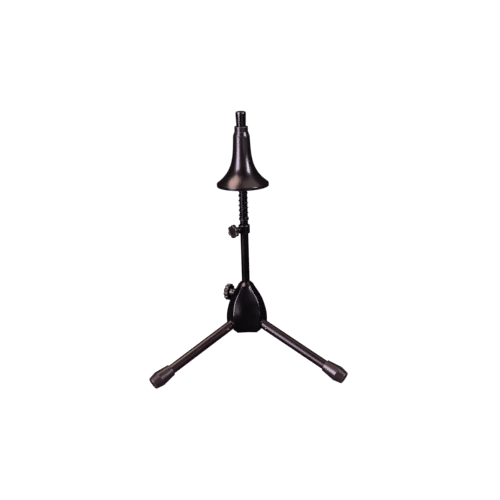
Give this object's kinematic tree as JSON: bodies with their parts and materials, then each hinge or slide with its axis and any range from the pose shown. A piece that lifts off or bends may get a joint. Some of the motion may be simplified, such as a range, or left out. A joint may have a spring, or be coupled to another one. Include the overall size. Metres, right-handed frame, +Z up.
{
  "type": "trumpet stand",
  "caption": "Folding floor stand: legs that fold from a moulded hub, a telescopic post with clamp screws, and a sprung, flared cone that holds an instrument by its bell.",
  "frame": {"origin": "on the floor under the post's axis", "axes": "+Z up along the post, +Y along the rear leg, front legs towards -Y to either side"},
  "size_m": [0.3798, 0.3319, 0.5105],
  "materials": {
    "hub_plastic": "moulded, glossy black",
    "neck_plastic": "moulded, glossy black",
    "collar_plastic": "moulded, glossy black",
    "knob_plastic": "moulded, satin black",
    "cap_plastic": "glossy black",
    "cone_plastic": "moulded, satin purple-black",
    "leg_end_plastic": "moulded, glossy black",
    "leg_tube": "gloss maroon-black paint",
    "black_tube": "gloss black paint",
    "foot_rubber": "satin, brown-black",
    "nylon": "matt black nylon",
    "brass": "turned",
    "zinc_steel": "zinc plated",
    "rivet_steel": "blackened",
    "spring_steel": "blackened"
  },
  "bodies": {
    "hub": {"hub_shell": "hub_plastic", "neck_ring": "neck_plastic", "lower_bush": "nylon", "leg_pivot_pins": "zinc_steel", "hub_clamp_insert": "brass"},
    "left_leg": {"left_leg_tube": "leg_tube", "left_leg_end": "leg_end_plastic", "left_leg_rivet": "rivet_steel", "left_leg_foot": "foot_rubber"},
    "right_leg": {"right_leg_tube": "leg_tube", "right_leg_end": "leg_end_plastic", "right_leg_rivet": "rivet_steel", "right_leg_foot": "foot_rubber"},
    "rear_leg": {"rear_leg_tube": "leg_tube", "rear_leg_end": "leg_end_plastic", "rear_leg_rivet": "rivet_steel", "rear_leg_foot": "foot_rubber"},
    "post_slider": {"post_plug": "nylon"},
    "post": {"post_tube": "black_tube", "post_collar": "collar_plastic", "collar_clamp_insert": "brass"},
    "rod_slider": {"rod_bush": "nylon"},
    "rod": {"inner_rod": "black_tube", "upper_tube": "black_tube", "joint_pin": "zinc_steel", "spring_seat": "zinc_steel", "seat_pin": "zinc_steel", "retaining_ring": "spring_steel", "peg_cap": "cap_plastic", "cone_spring": "spring_steel"},
    "cone_slider": {"thrust_washer": "nylon"},
    "cone": {"cone_shell": "cone_plastic", "cone_ring": "cone_plastic", "cone_bush": "nylon"},
    "hub_pad": {"hub_clamp_pad": "nylon"},
    "hub_knob": {"hub_clamp_stud": "zinc_steel", "hub_clamp_knob": "knob_plastic"},
    "collar_pad": {"collar_clamp_pad": "nylon"},
    "collar_knob": {"collar_clamp_stud": "zinc_steel", "collar_clamp_knob": "knob_plastic"}
  },
  "joints": [
    {"name": "left_leg_fold", "type": "hinge", "parent": "hub", "child": "left_leg", "pos_m": [-0.02511, -0.0145, 0.0969], "axis": [0.5, -0.866, 0], "range_deg": [0, 64.4]},
    {"name": "right_leg_fold", "type": "hinge", "parent": "hub", "child": "right_leg", "pos_m": [0.02511, -0.0145, 0.0969], "axis": [0.5, 0.866, 0], "range_deg": [0, 64.4]},
    {"name": "rear_leg_fold", "type": "hinge", "parent": "hub", "child": "rear_leg", "pos_m": [0, 0.029, 0.0969], "axis": [-1, 0, 0], "range_deg": [0, 64.4]},
    {"name": "post_slide", "type": "slide", "parent": "hub", "child": "post_slider", "axis": [0, 0, 1], "range_m": [-0.08, 0.024]},
    {"name": "post_swivel", "type": "hinge", "parent": "post_slider", "child": "post", "pos_m": [0, 0, 0.088], "axis": [0, 0, 1], "continuous": true},
    {"name": "rod_slide", "type": "slide", "parent": "post", "child": "rod_slider", "axis": [0, 0, 1], "range_m": [0, 0.1]},
    {"name": "rod_swivel", "type": "hinge", "parent": "rod_slider", "child": "rod", "pos_m": [0, 0, 0.139], "axis": [0, 0, 1], "continuous": true},
    {"name": "cone_slide", "type": "slide", "parent": "rod", "child": "cone_slider", "axis": [0, 0, 1], "range_m": [-0.015, 0], "stiffness_N_per_m": 700, "springref_m": 0.004, "deforming": ["cone_spring"]},
    {"name": "cone_swivel", "type": "hinge", "parent": "cone_slider", "child": "cone", "pos_m": [0, 0, 0.43], "axis": [0, 0, 1], "continuous": true},
    {"name": "hub_pad_slide", "type": "slide", "parent": "hub", "child": "hub_pad", "axis": [-0.866, 0.5, 0], "range_m": [0, 0.0025]},
    {"name": "hub_knob_turn", "type": "hinge", "parent": "hub_pad", "child": "hub_knob", "pos_m": [0, 0, 0.1495], "axis": [-0.866, 0.5, 0], "range_deg": [0, 725]},
    {"name": "collar_pad_slide", "type": "slide", "parent": "post", "child": "collar_pad", "axis": [-0.7431, -0.6691, 0], "range_m": [0, 0.002]},
    {"name": "collar_knob_turn", "type": "hinge", "parent": "collar_pad", "child": "collar_knob", "pos_m": [0, 0, 0.28225], "axis": [-0.7431, -0.6691, 0], "range_deg": [0, 725]}
  ],
  "couplings": [
    {"joint": "hub_knob_turn", "follows": "hub_pad_slide", "rad_per_m": 5026.5},
    {"joint": "collar_knob_turn", "follows": "collar_pad_slide", "rad_per_m": 6283.2}
  ]
}
